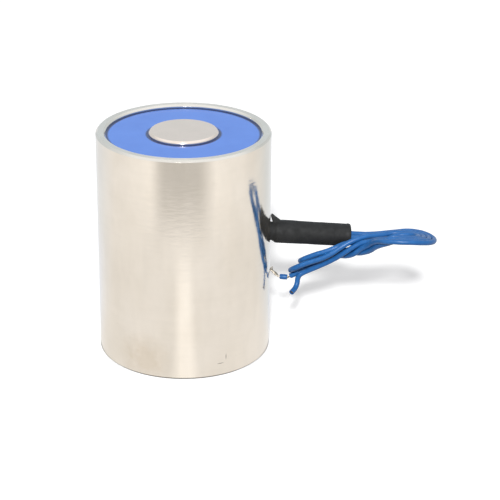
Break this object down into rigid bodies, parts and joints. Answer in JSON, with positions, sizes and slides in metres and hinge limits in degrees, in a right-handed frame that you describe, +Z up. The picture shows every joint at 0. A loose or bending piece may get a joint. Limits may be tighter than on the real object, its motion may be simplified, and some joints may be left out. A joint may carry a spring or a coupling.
{
  "type": "holding electromagnet",
  "caption": "Round holding electromagnet: a plated steel pot with a central pole, a blue potted coil, a tapped base and a pair of blue leads from a black side sleeve.",
  "frame": {"origin": "centre of the base, on the underside of the shell", "axes": "+Z up along the shell's axis, out of the pole face; +X towards the lead hole and its sleeve"},
  "size_m": [0.0878, 0.045, 0.06],
  "materials": {
    "nickel_steel": "bright nickel plate with a faint ripple",
    "resin_blue": "glossy cast epoxy",
    "lead_blue": "glossy extruded insulation",
    "sleeve_black": "matte shrunk tubing",
    "bobbin_white": "natural moulded nylon",
    "copper": "enamelled copper wire",
    "tape_amber": "amber film tape",
    "tinned_copper": "tinned stranded copper"
  },
  "bodies": {
    "root": {"shell": "nickel_steel", "core": "nickel_steel", "bobbin": "bobbin_white", "winding": "copper", "coil_tape": "tape_amber", "potting": "resin_blue", "splice_a": "sleeve_black", "splice_b": "sleeve_black", "lead_sleeve": "sleeve_black", "lead_a": "lead_blue", "lead_b": "lead_blue", "lead_hank": "lead_blue", "lead_a_tail": "lead_blue", "lead_b_tail": "lead_blue", "lead_b_slug": "lead_blue", "lead_b_strands": "tinned_copper"}
  },
  "joints": []
}
